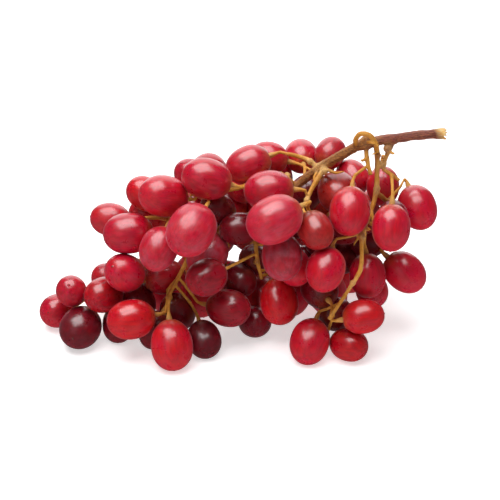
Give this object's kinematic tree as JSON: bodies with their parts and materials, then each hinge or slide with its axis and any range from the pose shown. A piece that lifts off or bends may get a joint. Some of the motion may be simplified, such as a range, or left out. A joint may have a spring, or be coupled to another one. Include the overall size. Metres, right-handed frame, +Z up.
{
  "type": "bunch of grapes",
  "caption": "Bunch of red table grapes lying on a surface, its cut stem raised at one end, with oval berries on short stalks.",
  "frame": {"origin": "on the surface that the bunch lies on, under the middle of its footprint", "axes": "+Z up, +X from the thin tail of the bunch to the cut end of the stem, -Y towards the side with the largest berries"},
  "size_m": [0.18, 0.094, 0.0959],
  "materials": {
    "red_skin": "thin crimson grape skin over translucent flesh, softened by a pale waxy bloom",
    "dark_skin": "deep purple-red grape skin, half gloss",
    "amber_skin": "olive-amber to red grape skin, less ripe near the stalk",
    "stem_wood": "reddish-brown bark on the main stem, golden stalks with pale knots"
  },
  "bodies": {
    "root": {"berries_core_01": "dark_skin", "berries_core_02": "dark_skin", "berries_core_03": "dark_skin", "berries_core_04": "dark_skin", "berries_core_05": "dark_skin", "berries_core_06": "dark_skin", "berries_core_07": "dark_skin", "berries_core_08": "dark_skin", "berries_far_high": "red_skin", "berries_far_low": "red_skin", "berries_far_middle": "red_skin", "berries_far_top": "red_skin", "berries_under": "red_skin", "berry_floor_01": "red_skin", "berry_floor_02": "dark_skin", "berry_floor_03": "red_skin", "berry_floor_04": "red_skin", "berry_floor_05": "red_skin", "berry_floor_06": "red_skin", "berry_floor_07": "dark_skin", "berry_front_01": "red_skin", "berry_front_02": "red_skin", "berry_front_03": "red_skin", "berry_front_04": "red_skin", "berry_front_05": "red_skin", "berry_front_06": "red_skin", "berry_front_07": "red_skin", "berry_front_08": "red_skin", "berry_hanging_01": "red_skin", "berry_hanging_02": "red_skin", "berry_hanging_03": "red_skin", "berry_hanging_04": "red_skin", "berry_hanging_05": "red_skin", "berry_left_01": "red_skin", "berry_left_02": "red_skin", "berry_left_03": "red_skin", "berry_left_04": "red_skin", "berry_left_05": "red_skin", "berry_left_06": "red_skin", "berry_tail_01": "red_skin", "berry_tail_02": "red_skin", "berry_tail_03": "dark_skin", "berry_tail_04": "red_skin", "berry_tail_05": "red_skin", "berry_top_01": "red_skin", "berry_top_02": "red_skin", "berry_top_03": "red_skin", "berry_top_04": "red_skin", "berry_top_05": "red_skin", "berry_top_06": "red_skin", "berry_top_07": "red_skin", "berry_top_08": "red_skin", "berry_wing_01": "amber_skin", "berry_wing_02": "red_skin", "berry_wing_03": "amber_skin", "berry_wing_04": "red_skin", "berry_wing_05": "red_skin", "berry_wing_06": "red_skin", "berry_wing_07": "red_skin", "stem": "stem_wood"}
  },
  "joints": []
}
